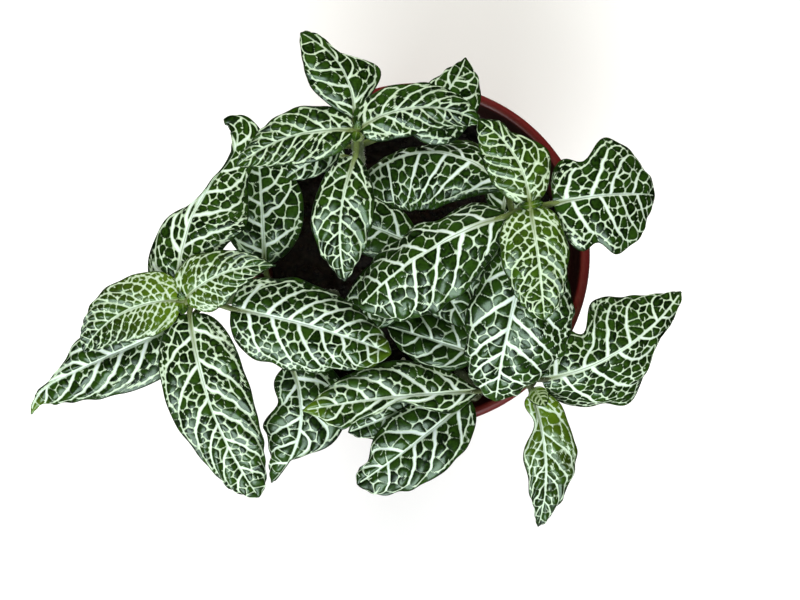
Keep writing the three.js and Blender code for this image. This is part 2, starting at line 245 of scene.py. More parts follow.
shoots = {}
shoots["shoot_back"] = leafyStem(
    (-20, 28), (-19, 35, 157), 45,
    right=leaf(1, 35, 40, 16, bend=-62, petiole=-1, climb=8, aim=50, base=0.3, tip=0.6, pairs=8, sweep=0.34,
        bold=0.52, cell=2.7, age=0.62),
    left=leaf(1, 176, 39, 17, bend=40, petiole=-0.5, climb=8, skew=0.06, base=0.45, pairs=8, sweep=0.34,
        bold=0.5, cell=2.7, age=0.52),
    far=leaf(0.93, 87, 32, 17, bend=70, aim=101, climb=22, droop=25, roll=22, skew=0.3, base=0.75, tip=0.72,
        lobes=((-1, 0.7, 2.8, 0.14), (-1, 0.34, -7, 0.14)), pairs=5, bold=0.68, cell=3.3, age=0.6),
    near=leaf(0.92, -112, 41, 19, aim=-94, bend=34, petiole=5, climb=5, droop=45, skew=0.06, bold=0.56,
        cell=3, age=0.6),
    lowRight=leaf(0.7, 29, 30, 19, aim=20, bend=43, petiole=15, skew=-0.3, base=0.5, bold=0.85, cell=3),
    lowLeft=leaf(0.7, 204, 20, 13, aim=185, bend=10, petiole=4, skew=-0.2, bold=0.8, cell=2.6),
    under=leaf(0.45, 168, 22, 15, climb=5, age=1),
    budFar=bud(80, 3.5, 2.6, 55),
    budNear=bud(-100, 4, 3, 50),
)
shoots["shoot_right"] = leafyStem(
    (22, 4), (33, 13, 153), 45,
    far=leaf(1, 96, 31, 18, bend=52, climb=25, petiole=-1, skew=0.08, base=0.42, tip=0.55,
        lobes=((-1, 0.71, 3.6, 0.14), (-1, 0.35, -1.8, 0.14), (-1, 0.92, 1.6, 0.08)), pairs=7, sweep=0.3,
        bold=0.56, cell=2.7, age=0.45, fresh=0.2),
    near=leaf(1, -80, 36, 21, bend=-3, climb=5, petiole=-1, skew=-0.08, base=0.36, tip=0.66, pairs=6,
        sweep=0.26, bold=0.6, cell=2.6, age=0.42, fresh=0.25),
    out=leaf(0.9, 12, 37, 36, aim=12, bend=-13, petiole=7.5, droop=60, skew=-0.07, base=0.38, tip=0.56,
        lobes=((1, 0.31, 5.2, 0.13), (1, 0.54, -2.2, 0.17), (-1, 0.34, 4.8, 0.12)), pairs=5, cell=3.1,
        ripple=0.4, wave=0.15),
    inner=leaf(0.9, 196, 56, 33, aim=199, bend=32, petiole=4, droop=42, roll=22, fold=-16, skew=0.06,
        base=0.55, tip=0.4, lobes=((-1, 0.1, -4.5, 0.12),), pairs=6, sweep=0.28, cell=4, age=0.8),
    lowFar=leaf(0.74, 128, 53, 36, aim=108, bend=102, petiole=8, roll=24, twist=20, fold=-27, cup=22,
        base=0.65, tip=0.55, lobes=((1, 0.9, -3, 0.15), (-1, 0.26, -7, 0.12), (-1, 0.63, 9, 0.2)), pairs=6,
        cell=3.6, age=0.9),
    lowNear=leaf(0.74, -108, 60, 35, aim=-51, bend=16, petiole=7.5, climb=0, droop=50, cup=50, skew=0.2,
        base=0.5, tip=0.55, pairs=6, sweep=0.3, bold=1.15, cell=3.7, age=0.8),
    underFar=leaf(0.5, 80, 24, 15, climb=5, age=1),
    underNear=leaf(0.5, -100, 24, 15, climb=5, age=1),
    budOut=bud(10, 4, 3, 45),
    budIn=bud(190, 3.5, 2.6, 50),
)
shoots["shoot_left"] = leafyStem(
    (-30, -14), (-75, -16, 133), 30,
    inner=leaf(1, 45, 34, 19, bend=-49, petiole=-1, climb=30, base=0.38, tip=1.1, pairs=8, sweep=0.36,
        bold=0.44, cell=2.3, age=0.58, fresh=0.45),
    out=leaf(1, 175, 38, 21, bend=65, petiole=-1, climb=14, base=0.37, tip=0.77, pairs=9, sweep=0.3,
        bold=0.38, cell=2.25, age=0.6, fresh=0.75),
    near=leaf(0.95, -83, 67, 27.5, aim=-104, bend=24, climb=5, petiole=2.5, base=0.36, tip=0.56,
        lobes=((-1, 0.72, 1.8, 0.15),), pairs=7, sweep=0.24, bold=0.9, cell=2.9, age=0.6),
    far=leaf(0.95, 97, 63, 24, aim=158, bend=-76, veer=170, petiole=2.5, climb=8, droop=20, cup=30, roll=-14,
        base=0.3, tip=1.25, lobes=((1, 0.53, 7, 0.2), (1, 0.75, 2.6, 0.08), (1, 0.93, -1.4, 0.08),
        (-1, 0.54, -9, 0.2), (-1, 0.88, -6, 0.1)), pairs=7, cell=2.8, age=0.6),
    lowOut=leaf(0.88, 204, 66, 25, aim=228, bend=-2, veer=67, petiole=7.5, climb=0, droop=25, skew=0.1,
        base=0.34, lobes=((-1, 0.77, 5, 0.15),), bold=1.1, cell=3.2, age=0.65, freshTip=0.8, greenFrom=0.97,
        ripple=0.4, wave=0.3),
    lowIn=leaf(0.88, -9, 54, 30, aim=-18, bend=-14, petiole=7, droop=30, cup=50, skew=-0.08, base=0.32,
        tip=0.6, pairs=7, cell=3, age=0.85, freshTip=0.45),
    baseFar=leaf(0.55, 90, 42, 27, aim=102, bend=6, climb=20, petiole=10, age=0.9),
    baseNear=leaf(0.55, -64, 48, 29, aim=-75, bend=-75, petiole=21, climb=2, droop=38, skew=0.1, base=0.46,
        lobes=((1, 0.74, 10.5, 0.2), (-1, 0.25, 4.8, 0.15)), cell=3.6, age=0.75),
    budNear=bud(-85, 4, 3.4, 35),
    budFar=bud(100, 3.5, 2.8, 50),
)
shoots["shoot_near"] = leafyStem(
    (24, -24), (38, -44, 108), 15,
    budFar=youngLeaf(120, 10, 8),
    budNear=youngLeaf(-60, 9, 7),
    near=leaf(0.97, -70, 51, 18, aim=-80, bend=-32, climb=0, petiole=2.5, skew=0.14, base=0.42,
        lobes=((1, 0.44, -1.1, 0.06), (1, 0.58, -1.6, 0.06), (-1, 0.2, 5, 0.12)), pairs=6, sweep=0.28,
        bold=0.5, cell=2.8, fresh=0.8, wave=0.3),
    far=leaf(0.97, 95, 26, 14, climb=0, petiole=2, cell=2.4, age=0.3),
    right=leaf(0.92, 10, 57, 45, aim=-5, bend=45, petiole=3.5, climb=15, droop=25, roll=18, fold=-12,
        base=0.4, tip=0.85, lobes=((1, 0.34, 11.5, 0.12), (-1, 0.42, -6, 0.14), (-1, 0.71, 5.4, 0.12)),
        pairs=6, cell=3.2, age=0.6),
    left=leaf(0.92, 180, 60, 18, aim=193, bend=11, climb=25, droop=32, petiole=17, skew=-0.3, base=1, tip=1,
        lobes=((1, 0.46, 4.2, 0.12), (1, 0.16, -3.8, 0.12), (1, 0.82, -4.2, 0.12)), pairs=6, age=0.6,
        freshTip=0.7),
    low=leaf(0.55, 160, 34, 20, aim=195, bend=5, climb=8, petiole=8, cell=4.4, age=0.9),
)
shoots["shoot_front"] = leafyStem(
    (8, -30), (20, -49, 102), 12,
    near=leaf(1, 220, 50, 26, aim=184, bend=-4, petiole=1, skew=0.08, base=0.45, tip=0.5,
        lobes=((-1, 0.84, 3.6, 0.12),), pairs=5, sweep=0.28, bold=1.1, cell=4, age=0.9),
    low=leaf(0.8, 203, 38, 20, petiole=6, age=0.9),
)
shoots["shoot_middle"] = leafyStem(
    (-4, -2), (2, 2, 104), 15,
    left=leaf(1, 228, 38, 20, bend=-5, climb=5, droop=25, cell=4.2, age=1),
    right=leaf(1, 158, 36, 20, climb=18, droop=25, petiole=1, cell=4.2, age=1),
    near=leaf(0.9, -60, 26, 18, climb=5, droop=25, cell=4.2, age=1),
)

blade = {
    "step": 0.37,  # mm between points of the upper face; the lower one has a quarter of them
    "small": 18,  # mm; a shorter blade has finer steps
    "full": 40,  # mm; a shorter blade has less relief
    "thickness": 0.5,
    "forward": 0.46,  # how far the side veins run towards the tip in all, as a share of the length
    "sweepStart": 4.5,  # how soon that begins at the blade's base
    "quilt": 0.55,  # mm that the blade stands up between two side veins
    "pillow": 0.26,  # mm that a cell of the net stands up
    "groove": (0.35, 0.7),  # depth and width of the midrib's groove
    "keel": (0.6, 0.8),  # the same for the keel under the midrib
    "swell": (0.4, 14),  # mm that the whole blade goes up and down, and over what length
    "rippleLength": 11,
    "bow": 0.1,  # mm that the margin bows out between two side veins
    "lip": 0.35,  # mm that the margin turns down
}


# The way along a blade: heading and slope turn with the share u of its length.
def wayAlong(own, u):
    heading = np.radians(own["heading"] + own["bend"] * u + own["veer"] * u ** 8)
    slope = np.radians(own["climb"] - own["droop"] * u)
    flat = np.cos(slope)
    return np.stack([flat * np.cos(heading), flat * np.sin(heading), np.sin(slope)], -1)


# The midrib, summed in small steps from the blade's base.
def midribLine(own, base):
    steps = 240
    way = wayAlong(own, (np.arange(steps) + 0.5) / steps) * own["length"] / steps
    return np.vstack([base, base + np.cumsum(way, 0)])


# The places at the shares u of a line.
def placeOn(line, u):
    shares = np.linspace(0, 1, len(line))
    return np.stack([np.interp(u, shares, line[:, k]) for k in range(3)], -1)


# 1 in the middle, and next to nothing two widths away from it.
def bell(x, width):
    return np.exp(-((x / width) ** 2))


# One half's width at u: a power of the distance to each end, the widest place between, less the lobes.
def halfWidth(own, u, left):
    u = np.clip(u, 0, 1)
    base, tip = own["base"], own["tip"]
    widest = base / (base + tip)
    shape = (u / widest) ** base * ((1 - u) / (1 - widest)) ** tip
    width = own["width"] / 2 * np.where(left, 1 + own["skew"], 1 - own["skew"]) * shape
    for where, place, depth, spread in own["lobes"]:
        width = width - np.where(left == (where > 0), depth * bell(u - place, spread), 0)
    return np.maximum(0.3, width)


def unit(vectors):
    return vectors / np.linalg.norm(vectors, axis=-1, keepdims=True)


# Points at u along the midrib and v from -1 at the right margin to 1 at the left. Each half leaves the
# midrib at the fold angle and bends down by the cup angle. lift is along the surface's normal.
def bladePoints(own, rib, u, v, reach, lift):
    along = wayAlong(own, u)
    left = unit(np.cross(up, along))
    above = np.cross(along, left)
    roll = np.radians(own["roll"] + own["twist"] * u)[..., None]
    across = left * np.cos(roll) + above * np.sin(roll)
    out = above * np.cos(roll) - left * np.sin(roll)
    side = np.abs(v)
    slope = np.radians(own["fold"] - own["cup"] * side / 2)
    tilt = np.radians(own["fold"] - own["cup"] * side)
    sideways = np.sign(v) * (reach * np.cos(slope) - lift * np.sin(tilt))
    height = reach * np.sin(slope) + lift * np.cos(tilt)
    return placeOn(rib, u) + across * sideways[..., None] + out * height[..., None]


# Where the row from foot on the midrib lies at v: rows are swept towards the tip, most of all near the
# margin, but less near the tip, so that no two of them meet.
def sweptShare(own, foot, v):
    side = np.abs(v)
    late = np.clip(0.9 / blade["forward"] - 1, 0, 1)
    ease = (1 - foot) * (1 + late * foot) * (1 - np.exp(-blade["sweepStart"] * foot))
    return foot + (own["sweep"] * side + (blade["forward"] - own["sweep"]) * side ** 2.5) * ease


veins = {
    "midrib": (0.85, 0.2),  # half widths in mm, at the base and at the tip
    "side": (0.7, 0.28),  # at the midrib and at the loops
    "sideSpan": (0.03, 0.86),  # where the first and the last may leave the midrib
    "loop": 0.2,
    "net": 0.14,
    "stub": 0.12,
    "stubShare": 0.35,  # roomy cells with a vein that ends free
    "roomy": 0.6,
    "loopAt": 0.75,  # where the loops join the side veins, as a share of the half width
    "scallop": 0.13,  # how much further out the loops bow
    "offset": 0.35,  # how far the left half's side veins are moved on against the right half's
    "fillet": 0.2,
    "wander": 0.2,  # mm that the veins stray from their smooth lines
    "edge": 0.4,  # green edge outside the net
    "edgeCell": 0.68,  # size of the outer row's cells against the others
    "jitter": 0.09,  # how far a cell's seed strays, as a share of the cell
    "cellFillet": 0.07,
}


# The side veins' count at foot: whole numbers lie on a side vein.
def veinCount(own, foot, left):
    pairs = own["pairs"] or max(4, round(own["length"] / 9))
    return pairs * foot ** 0.92 + veins["offset"] * left + 0.1 * np.sin(2 * np.pi * (foot * 1.7 + left / 3))


# The least distance of each point to the lines, less their half widths there. Each line is a list of x,
# of y and of half widths.
def lineInk(x, y, lines):
    first = np.concatenate([np.stack([a[:-1], b[:-1], r[:-1]]) for a, b, r in lines], 1)
    second = np.concatenate([np.stack([a[1:], b[1:], r[1:]]) for a, b, r in lines], 1)
    ax, ay, ar = first.astype(np.float32)
    dx, dy, dr = (second - first).astype(np.float32)
    px, py = x.astype(np.float32)[:, None] - ax, y.astype(np.float32)[:, None] - ay
    share = np.clip((px * dx + py * dy) / (dx * dx + dy * dy + 1e-9), 0, 1)
    return (np.hypot(px - share * dx, py - share * dy) - ar - dr * share).min(1)


# Cells: seeds are spread evenly through each field between two side veins, and a point belongs to the
# nearest seed of its own field. Its distance to the border with seed b is (|p-b|^2 - |p-a|^2) / 2|a-b|.
def cellInk(x, y, area, field, size, rng):
    none = 1e3  # mm, where there is no border or vein
    places, fields = [], []
    for number in np.unique(field):
        inside = np.flatnonzero(field == number)
        room = area[inside].sum()
        count = max(1, round(room / (size * (veins["edgeCell"] if number < 0 else 1)) ** 2))
        places.append(rng.choice(inside, min(count, len(inside)), replace=False, p=area[inside] / room))
        fields.append(np.full(len(places[-1]), number))
    places, fields = np.concatenate(places), np.concatenate(fields)
    sx, sy = x[places], y[places]
    apart = (field[:, None] != fields) * 1e4

    def squares():
        return (x[:, None] - sx) ** 2 + (y[:, None] - sy) ** 2 + apart

    for _ in range(5):  # each time, the seeds move to the middles of their cells
        nearest = squares().argmin(1)
        mass = np.maximum(np.bincount(nearest, area, len(sx)), 1e-6)
        sx, sy = (np.bincount(nearest, area * each, len(sx)) / mass for each in (x, y))
    sx = sx + rng.normal(0, veins["jitter"] * size, len(sx))
    sy = sy + rng.normal(0, veins["jitter"] * size, len(sy))
    reach = squares()
    nearest = reach.argmin(1)
    between = np.hypot(sx[:, None] - sx, sy[:, None] - sy)
    np.fill_diagonal(between, 1)
    border = (reach - reach.min(1)[:, None]) / (2 * between[nearest])
    border[np.arange(len(x)), nearest] = none
    soft = veins["cellFillet"] * size
    ink = -soft * np.log(np.exp(-border / soft).sum(1) + 1e-12)
    turn = rng.uniform(0, 2 * np.pi, len(sx))
    roomy = np.bincount(nearest, area, len(sx)) > veins["roomy"] * size ** 2
    free = roomy & (rng.uniform(0, 1, len(sx)) < veins["stubShare"])
    rx, ry, turn = x - sx[nearest], y - sy[nearest], turn[nearest]
    along = rx * np.cos(turn) + ry * np.sin(turn)
    aside = ry * np.cos(turn) - rx * np.sin(turn) + 0.2 * along * along / size
    stub = np.hypot(np.minimum(along - 0.16 * size, 0), aside) - veins["stub"] * (0.8 + 0.5 * along / size)
    stub[~free[nearest] | (along < -0.3)] = none
    tone = rng.uniform(0, 1, len(sx))[nearest]
    return ink, stub, tone


# How far out the loops run, as a share of the half width: they bow outwards between two side veins.
def loopReach(own, foot, left):
    bow = np.abs(np.sin(np.pi * veinCount(own, foot, left))) ** 0.6
    return (veins["loopAt"] + veins["scallop"] * bow) * np.clip(foot * 8, 0, 1) ** 0.5


# How far each point of one half of the blade is from the edge of a vein: below zero inside a vein.
def halfInk(own, foot, v, left, rng):
    length, u = own["length"], sweptShare(own, foot, v)
    flatX, flatY = u * length, np.abs(v) * halfWidth(own, u, left)
    stray = veins["wander"] * np.clip(flatY / 2, 0, 1)
    x, y = (flat + stray * unevenness(flatX, flatY, 5, rng) for flat in (flatX, flatY))
    shares = np.linspace(0, 1, 401)
    counts = veinCount(own, shares, left)
    scale = 0.72 + 0.28 * min(1, length / 50)  # short blades have finer veins
    lines = []

    def draw(s, out, width):
        lines.append((s * length, out * halfWidth(own, s, left), width))

    for number in range(1, int(counts[-1]) + 1):
        start = np.interp(number, counts, shares)
        if veins["sideSpan"][0] < start < veins["sideSpan"][1]:
            out = np.linspace(0, veins["loopAt"] + 0.02, 15)
            width = np.interp(out, [0, 1], veins["side"]) * own["bold"] * scale * (1.1 - 0.5 * start)
            draw(sweptShare(own, start, out), out, width)
    last = len(lines)
    ring = np.linspace(0.02, 0.985, 150)
    out = loopReach(own, ring, left)
    s = sweptShare(own, ring, out)
    draw(s, out, veins["loop"] * scale * (1 - 0.5 * s ** 4))
    mid = np.linspace(0, 0.97, 30)
    draw(mid, 0, np.interp(mid, [0, 1], veins["midrib"]) * scale * (0.5 + 0.5 * own["bold"]))
    strong = lineInk(x.ravel(), y.ravel(), lines).reshape(x.shape)
    # the fields between the side veins are numbered, and the one outside the loops is -1
    field = np.clip(np.floor(veinCount(own, foot, left)), 0, last).astype(int)
    field = np.where(np.abs(v) > loopReach(own, foot, left), -1, field)
    alongX, acrossX = np.gradient(x)
    alongY, acrossY = np.gradient(y)
    area = np.abs(alongX * acrossY - acrossX * alongY) + 1e-6
    parts = cellInk(x.ravel(), y.ravel(), area.ravel(), field.ravel(), own["cell"], rng)
    cells, stub, tone = (part.reshape(x.shape) for part in parts)
    net = veins["net"] * scale * (1 + 0.35 * unevenness(x, y, 6, rng))
    soft = veins["fillet"]
    ink = -soft * np.log(np.exp(-(cells - net) / soft) + np.exp(-strong / soft))
    rim = (1 - np.abs(v)) * halfWidth(own, u, left)
    return np.maximum(np.minimum(ink, stub), veins["edge"] - rim), tone, flatY, rim


# the cells' lighter tones come partly from random tone and partly from painted sheen
leafColours = {
    "old": "#030d01", "oldLight": "#28470b", "young": "#172b03", "youngLight": "#4a6d0a", "fresh": "#65860e",
    "vein": "#deece9", "veinYoung": "#cfe0b4", "thin": "#a6c08b", "groove": "#88a172", "stalk": "#6b793b",
    "edge": "#0f2207", "below": "#78975d", "veinBelow": "#bac99d", "shine": "#d2f0dc",
}
leafMarks = ("ink", "rib", "rim", "tone", "age", "below", "along", "fresh")  # kept on a blade's points
leafNoise = {"ragged": 0.7, "patch": 9, "mottle": 0.8, "grain": 0.6, "worn": 1.2}  # sizes in mm
# Each mask goes with a mark: from where to where, and the mask's own values there.
leafMasks = {
    "middle": ("ink", 0.1, 0.8, -0.3, 0.3, "LINEAR"),  # painted sheen: a cell's middle is painted lighter and its rim darker, as the window's shine on each bulging cell
    "grown": ("age", 0, 0.7, 0, 1, "SMOOTHSTEP"),  # cells darken with age
    "pale": ("age", 0, 0.7, 0, 1, "LINEAR"),  # veins grow whiter
    "thin": ("ink", -0.36, -0.08, 0, 0.7, "LINEAR"),  # thin veins let the green below show through
    "line": ("rib", 0.06, 0.24, 0.8, 0, "SMOOTHSTEP"),  # a grey-green line along the midrib
    "lineEnd": ("along", 0.3, 0.75, 1, 0.1, "LINEAR"),
    "foot": ("rib", 0.3, 1, 1, 0, "SMOOTHSTEP"),  # the stalk's green where the blade begins
    "footEnd": ("along", 0.02, 0.28, 1, 0, "LINEAR"),
    "dark": ("rim", 0.15, 0.45, 0.85, 0, "SMOOTHSTEP"),  # the dark edge
}


# Fresh leaf: a waxy satin skin. The cells bulge and shine blue-grey where the window is mirrored,
# the sunk veins are matt and nearly white, and the midrib is green at the stalk.
def leafSkin():
    material, tree, shader = newMaterial("waxy leaf skin")
    tint = {name: colour(code) for name, code in leafColours.items()}
    mark = {name: add(tree, "Attribute", output="Fac", attribute_name=name) for name in leafMarks}
    mask, noise = {}, {}
    for name, (source, start, end, low, high, shape) in leafMasks.items():
        mask[name] = add(tree, "MapRange", {
            "Value": mark[source], "From Min": start, "From Max": end, "To Min": low, "To Max": high,
        }, interpolation_type=shape)
    place = add(tree, "TexCoord", output="Object")
    for name, size in leafNoise.items():
        detail = 3 if name == "patch" else 2
        noise[name] = add(tree, "TexNoise", {"Vector": place, "Scale": 1000 / size, "Detail": detail})
    # where the skin is a vein: the ink mark, with a ragged edge
    stray = add(tree, "Math", {0: noise["ragged"], 1: 0.3, 2: -0.15}, operation="MULTIPLY_ADD")
    edge = add(tree, "Math", {0: mark["ink"], 1: stray}, operation="ADD")
    vein = add(tree, "MapRange", {
        "Value": edge, "From Min": -0.05, "From Max": 0.1, "To Min": 1, "To Max": 0,
    }, interpolation_type="SMOOTHSTEP")
    # cells differ a little from each other and from patch to patch, are mottled, and carry a painted sheen:
    # lighter in the middle, darker at the rim
    both = add(tree, "Math", {0: mark["tone"], 1: noise["patch"]}, operation="ADD")
    both = add(tree, "Math", {0: noise["mottle"], 1: 2.4, 2: both}, operation="MULTIPLY_ADD")
    # painted sheen: the middle mask lightens each cell's middle and darkens its rim
    both = add(tree, "Math", {0: both, 1: mask["middle"]}, operation="ADD")
    toneAndSheen = add(tree, "MapRange", {"Value": both, "From Min": 1.6, "From Max": 3})
    line = add(tree, "Math", {0: mask["line"], 1: mask["lineEnd"]}, operation="MULTIPLY")
    foot = add(tree, "Math", {0: mask["foot"], 1: mask["footEnd"]}, operation="MULTIPLY")
    # each colour is mixed from two earlier ones: its name, the second one's share, and the two
    for name, share, first, second in (
        ("oldCell", toneAndSheen, "old", "oldLight"),
        ("youngCell", toneAndSheen, "young", "youngLight"),
        ("cell", mask["grown"], "youngCell", "oldCell"),
        ("cell", mark["fresh"], "cell", "fresh"),
        ("light", mask["pale"], "veinYoung", "vein"),
        ("light", mask["thin"], "light", "thin"),
        ("skin", vein, "cell", "light"),
        ("skin", line, "skin", "groove"),
        ("skin", foot, "skin", "stalk"),
        ("skin", mask["dark"], "skin", "edge"),
        ("dull", vein, "below", "veinBelow"),
        ("skin", mark["below"], "skin", "dull"),
    ):
        tint[name] = add(tree, "Mix", {0: share, 6: tint[first], 7: tint[second]}, 2, data_type="RGBA")
    # fine grain, sunk veins, and a smoother skin on the cells than on the veins
    fine = add(tree, "Math", {0: noise["grain"], 1: 0.12}, operation="MULTIPLY")
    height = add(tree, "Math", {0: vein, 1: -0.1, 2: fine}, operation="MULTIPLY_ADD")
    bump = add(tree, "Bump", {"Strength": 0.6, "Distance": 0.5 * mm, "Height": height})
    rough = add(tree, "MapRange", {"Value": vein, "To Min": 0.25, "To Max": 0.4})
    rough = add(tree, "Math", {0: noise["worn"], 1: 0.1, 2: rough}, operation="MULTIPLY_ADD")
    fill(tree, shader, {
        "Base Color": tint["skin"], "Roughness": rough, "Normal": bump, "IOR": 1.4,
        "Specular IOR Level": 0.85, "Specular Tint": tint["shine"],
    })
    return material


skin = leafSkin()


# The numbers of the points round a grid, in order.
def marginOf(rows, columns):
    numbers = np.arange(rows * columns).reshape(rows, columns)
    return np.concatenate([numbers[0], numbers[1:, -1], numbers[-1, -2::-1], numbers[-2:0:-1, 0]])


# A blade: an upper and a lower grid of points, joined round the margin. Both carry the same relief:
# quilted between the side veins, a pillow in each cell, a groove along the midrib and a rippled margin.
def makeLeaf(name, own, base, node, rng):
    rib = midribLine(own, base)
    step = blade["step"] * min(1, own["length"] / blade["small"])
    rows = 2 * math.ceil(own["length"] / step / 2) + 1
    half = 2 * math.ceil(own["width"] / step / 4)
    v = np.concatenate([np.linspace(-1, 0, half + 1), np.linspace(0, 1, half + 1)[1:]])
    foot, v = np.meshgrid(np.linspace(0, 1, rows) ** 1.15, v, indexing="ij")
    parts = [
        halfInk(own, foot[:, columns], v[:, columns], left, rng)
        for left, columns in enumerate((slice(0, half), slice(half, None)))
    ]
    ink, tone, fromRib, rim = (np.concatenate(pair, 1) for pair in zip(*parts))
    left, side = v >= 0, np.abs(v)
    u, count = sweptShare(own, foot, v), veinCount(own, foot, left)
    ends = np.clip(foot * 8, 0, 1) * np.clip((1 - foot) * 6, 0, 1)
    size = min(1, own["length"] / blade["full"])
    reach = halfWidth(own, u, left) * side
    reach += blade["bow"] * size * side ** 4 * ends * np.cos(2 * np.pi * (count + 0.5))
    ink = ink + 2 * np.clip((u - own["greenFrom"]) / 0.04, 0, 1)
    flatX, flatY = u * own["length"], fromRib * np.sign(v)
    relief = blade["quilt"] * size * ends * np.sin(np.pi * count) ** 2
    relief *= (1 - side ** 3) * np.clip(side * 4, 0, 1)
    relief += blade["pillow"] * size * (1 - np.exp(-np.clip(ink, 0, 9) / 0.5)) * (1 - side ** 8)
    depth, width = blade["groove"]
    relief -= depth * size * bell(fromRib, width) * (1 - foot ** 3)
    swell, length = blade["swell"]
    relief += swell * size * unevenness(flatX, flatY, length, rng) * ends
    relief += own["ripple"] * ends * side ** 3 * unevenness(flatX, flatY * 0.3, blade["rippleLength"], rng)
    relief += own["wave"] / 2 * ends * side ** 2 * -np.cos(2 * np.pi * count)
    relief -= blade["lip"] * size * side ** 10
    thick = blade["thickness"] / 2 * np.sqrt(np.clip(1.04 - side ** 8, 0, 1))
    depth, width = blade["keel"]
    keel = depth * size * bell(fromRib, width) * (1 - foot ** 2)
    top = bladePoints(own, rib, u, v, reach, relief + thick)
    low = bladePoints(own, rib, u, v, reach, relief - thick - keel)[::2, ::2]
    upper, lower = marginOf(*foot.shape), marginOf(*low.shape[:2]) + foot.size
    wall = np.stack([upper[::2], upper[1::2], np.roll(upper, -2)[::2], np.roll(lower, -1), lower], 1)
    fresh = own["fresh"] * (1 - u) ** 2.5 + own["freshTip"] * np.clip(u * 6 - 5, 0, 1)
    marks = {
        "ink": ink, "rib": fromRib, "rim": rim, "tone": tone, "age": np.full(u.shape, own["age"]),
        "along": u, "fresh": np.clip(fresh, 0, 1),
    }
    # the lower face has the same marks as the upper one
    marks = {label: np.append(values, values[::2, ::2]) for label, values in marks.items()}
    marks["below"] = np.repeat([0.0, 1.0], [foot.size, low.size // 3])
    points = np.concatenate([top.reshape(-1, 3), low.reshape(-1, 3)])
    faces = [gridFaces(*foot.shape), gridFaces(*low.shape[:2])[:, ::-1] + foot.size, wall]
    return makePiece(name, points, faces, skin, node, "foliage", marks)


stemShape = {
    "depth": 14, "foot": 2.2, "crown": 1.5, "rings": 64, "buried": 4, "sides": 20, "stalkSides": 12,
    "swelling": (0.45, 0.03),  # how much thicker a stem is where leaves leave it, and its length
    "stalk": (1.0, 0.9, 0.8, 0.7, 0.5, 0.3),  # radii from the stem to where the stalk ends under the blade
    "under": (0, 0.06, 0.14, 0.26, 0.45),  # places of the midrib that it runs under
    "sunk": (0.1, 0.9, 1.4, 1.4, 1.2),  # how far its middle lies under the blade
    "hairs": 4.5,  # hairs on each mm of stem
    "stalkHairs": 3,
    "hairLength": (0.5, 1.1),
    "hairWidth": 0.045,
}


# The stem's cubic curve at the shares t: straight up out of the mix, then over to the crown.
def stemPlace(shoot, t):
    foot = np.array([*shoot["root"], soilTop], float)
    crown = np.array(shoot["crown"], float)
    first = foot + up * shoot["rise"]
    second = crown + (first - crown) * 0.4
    weights = ((1 - t) ** 3, 3 * t * (1 - t) ** 2, 3 * t * t * (1 - t), t ** 3)
    return sum(np.multiply.outer(w, place) for w, place in zip(weights, (foot, first, second, crown)))


# A round tube: each ring is a point of the line plus the radius times cos of side and sin of above.
def tube(line, radii, sides, reference):
    way = unit(np.gradient(line, axis=0))
    side = unit(np.cross(reference, way))
    above = np.cross(way, side)
    turn = np.linspace(0, 2 * np.pi, sides, endpoint=False)[:, None]
    ring = np.cos(turn) * side[:, None] + np.sin(turn) * above[:, None]
    rings = line[:, None] + np.asarray(radii)[:, None, None] * ring
    points = np.concatenate([rings.reshape(-1, 3), line[:1], line[-1:]])
    squares = gridFaces(len(line), sides, wrap=True)[:, ::-1]
    k, last = np.arange(sides), (len(line) - 1) * sides
    beside, middle = np.roll(k, -1), np.full(sides, last + sides)
    low = np.stack([middle, beside, k], 1)
    high = np.stack([middle + 1, last + k, last + beside], 1)
    return points, [squares, np.concatenate([low, high])]


# A Catmull-Rom curve through points, with some steps between each two.
def smoothLine(points, steps):
    ends = np.vstack([2 * points[0] - points[1], points, 2 * points[-1] - points[-2]])
    t = np.linspace(0, 1, steps, endpoint=False)[:, None]
    pieces = []
    for a, b, c, d in zip(ends, ends[1:], ends[2:], ends[3:]):
        square, cube = 2 * a - 5 * b + 4 * c - d, 3 * b - a - 3 * c + d
        pieces.append(0.5 * (2 * b + (c - a) * t + square * t ** 2 + cube * t ** 3))
    return np.vstack([*pieces, points[-1:]])


# Where the blade begins: the end of the stalk, from the middle of the stem.
def stalkEnd(own, start):
    aimed = {**own, "heading": own["heading"] if own["aim"] is None else own["aim"]}
    return start + wayAlong(aimed, np.array(0.0)) * (own["petiole"] + stemShape["crown"])


def joined(parts):
    points, faceSets, count = [], {3: [], 4: []}, 0
    for some, faces in parts:
        for each in faces:
            faceSets[each.shape[1]].append(each + count)
        points.append(some)
        count += len(some)
    return np.concatenate(points), [np.concatenate(sets) for sets in faceSets.values() if sets]


# Fine white hairs: narrow three-sided cones that stand out of the line in random directions.
def hairs(line, radii, count, rng):
    spot = rng.uniform(0, len(line) - 1.001, count)
    i = spot.astype(int)
    share = (spot - i)[:, None]
    rings = np.column_stack([line, radii])
    rings = rings[i] * (1 - share) + rings[i + 1] * share
    way = unit(line[i + 1] - line[i])
    aside = unit(np.cross(way, rng.normal(size=(count, 3))))
    lean = unit(aside + 0.25 * rng.normal(size=(count, 3)))
    across = unit(np.cross(lean, way))
    root = rings[:, :3] + aside * rings[:, 3:] * 0.9
    turn = (np.arange(3) * 2 * np.pi / 3)[None, :, None]
    ring = np.cos(turn) * across[:, None] + np.sin(turn) * np.cross(lean, across)[:, None]
    low = root[:, None] + stemShape["hairWidth"] * ring
    tip = root + lean * rng.uniform(*stemShape["hairLength"], count)[:, None]
    points = np.concatenate([low, tip[:, None]], 1).reshape(-1, 3)
    first = np.arange(count)[:, None] * 4
    faces = np.array([[0, 1, 3], [1, 2, 3], [2, 0, 3], [0, 2, 1]])
    return points, [(first[:, :, None] + faces[None]).reshape(-1, 3)]


